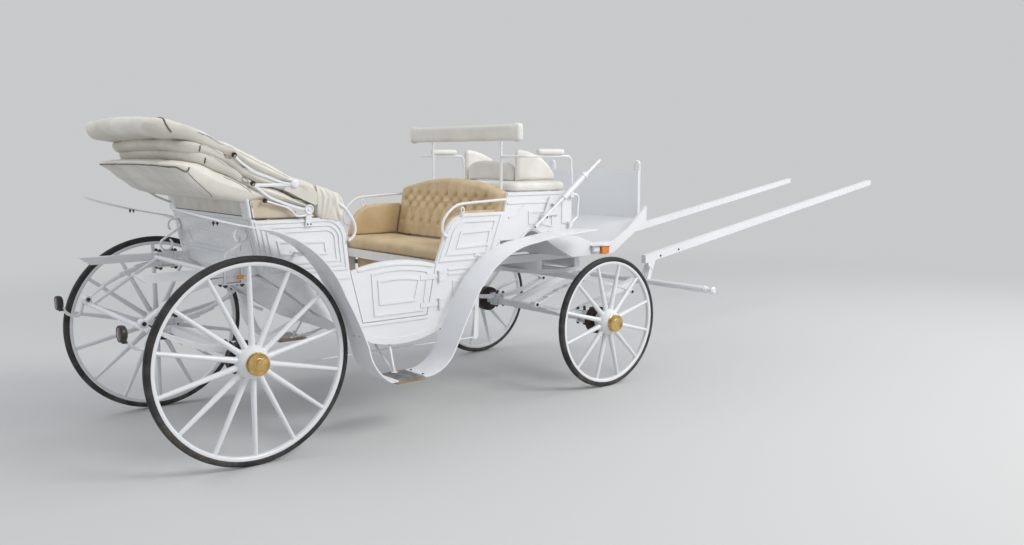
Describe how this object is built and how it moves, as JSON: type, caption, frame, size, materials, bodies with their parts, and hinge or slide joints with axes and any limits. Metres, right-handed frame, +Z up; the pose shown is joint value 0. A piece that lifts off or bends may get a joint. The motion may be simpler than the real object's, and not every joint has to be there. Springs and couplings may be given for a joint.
{
  "type": "horse-drawn carriage",
  "caption": "Open four-wheeled passenger carriage with facing benches, folded hood, raised driver's box, turntable steering and shafts.",
  "frame": {"origin": "on the ground, under the middle of the whole carriage's bounding box", "axes": "+X forwards towards the shafts' tips, +Y towards the carriage's left side, +Z up"},
  "size_m": [7.115, 2.22, 1.82],
  "materials": {
    "black_paint": "satin black paint",
    "brass": "polished brass",
    "hood_cloth": "cream hood cloth",
    "shaft_wood": "white painted ash",
    "step_tread": "chequered tread on a wooden step",
    "tan_leather": "buttoned tan leather",
    "tyre": "satin black rubber",
    "white_leather": "white quilted leather",
    "white_paint": "gloss white paint",
    "white_panel": "gloss white painted panel"
  },
  "bodies": {
    "carriage": {"arm_pads": "white_leather", "axle_rear": "white_paint", "back_panel": "white_panel", "bench_boards": "white_panel", "bench_skirts": "tan_leather", "body_mouldings": "white_panel", "brake_drums_rear": "black_paint", "brake_lever": "white_paint", "dash": "white_paint", "driver_backrest": "white_leather", "driver_box": "white_panel", "driver_cushion": "white_leather", "footwell": "white_panel", "front_guards": "white_paint", "front_quarters": "white_panel", "front_seat_back": "tan_leather", "front_seat_cushion": "tan_leather", "headrest": "white_leather", "hood": "hood_cloth", "hood_irons": "white_paint", "lamps": "black_paint", "rear_frame": "white_paint", "rear_guards": "white_paint", "rear_quarters": "white_panel", "rear_seat_back": "tan_leather", "rear_seat_cushion": "tan_leather", "rear_springs": "white_paint", "scroll_irons": "white_paint", "seat_rails": "white_paint", "side_pads": "tan_leather", "side_rails": "white_paint", "spring_clamps_rear": "black_paint", "steps": "step_tread", "tub_bottom": "white_panel", "turntable_upper": "white_paint", "underframe": "white_paint"},
    "wheel_rear_right_set": {"tyre_rear_right": "tyre", "wheel_rear_right": "white_paint", "hub_cap_rear_right": "brass"},
    "wheel_rear_left_set": {"tyre_rear_left": "tyre", "wheel_rear_left": "white_paint", "hub_cap_rear_left": "brass"},
    "wheel_front_right_set": {"tyre_front_right": "tyre", "wheel_front_right": "white_paint", "hub_cap_front_right": "brass"},
    "wheel_front_left_set": {"tyre_front_left": "tyre", "wheel_front_left": "white_paint", "hub_cap_front_left": "brass"},
    "forecarriage": {"axle_front": "white_paint", "brake_drums_front": "black_paint", "front_springs": "white_paint", "spring_clamps_front": "black_paint", "turntable_lower": "white_paint", "draught_frame": "white_paint"},
    "right_door": {"door_right": "white_panel", "door_moulding_right": "white_panel"},
    "left_door": {"door_left": "white_panel", "door_moulding_left": "white_panel"},
    "right_shaft": {"shaft_right": "shaft_wood"},
    "left_shaft": {"shaft_left": "shaft_wood"}
  },
  "joints": [
    {"name": "steering", "type": "hinge", "parent": "carriage", "child": "forecarriage", "pos_m": [-0.3425, 0, 0.77], "axis": [0, 0, 1], "range_deg": [-45, 45]},
    {"name": "door_right_hinge", "type": "hinge", "parent": "carriage", "child": "right_door", "pos_m": [-1.6705, -0.6, 0.79], "axis": [0, 0, 1], "range_deg": [0, 90]},
    {"name": "door_left_hinge", "type": "hinge", "parent": "carriage", "child": "left_door", "pos_m": [-1.6705, 0.6, 0.79], "axis": [0, 0, 1], "range_deg": [-90, 0]},
    {"name": "wheel_rear_right_spin", "type": "hinge", "parent": "carriage", "child": "wheel_rear_right_set", "pos_m": [-2.9425, -0.735, 0.55], "axis": [0, 1, 0], "continuous": true},
    {"name": "wheel_rear_left_spin", "type": "hinge", "parent": "carriage", "child": "wheel_rear_left_set", "pos_m": [-2.9425, 0.735, 0.55], "axis": [0, 1, 0], "continuous": true},
    {"name": "wheel_front_right_spin", "type": "hinge", "parent": "forecarriage", "child": "wheel_front_right_set", "pos_m": [-0.3425, -0.735, 0.455], "axis": [0, 1, 0], "continuous": true},
    {"name": "wheel_front_left_spin", "type": "hinge", "parent": "forecarriage", "child": "wheel_front_left_set", "pos_m": [-0.3425, 0.735, 0.455], "axis": [0, 1, 0], "continuous": true},
    {"name": "shaft_right_hinge", "type": "hinge", "parent": "forecarriage", "child": "right_shaft", "pos_m": [0.3875, -0.45, 0.745], "axis": [0, -1, 0], "range_deg": [-23, 35]},
    {"name": "shaft_left_hinge", "type": "hinge", "parent": "forecarriage", "child": "left_shaft", "pos_m": [0.3875, 0.45, 0.745], "axis": [0, -1, 0], "range_deg": [-23, 35]}
  ]
}
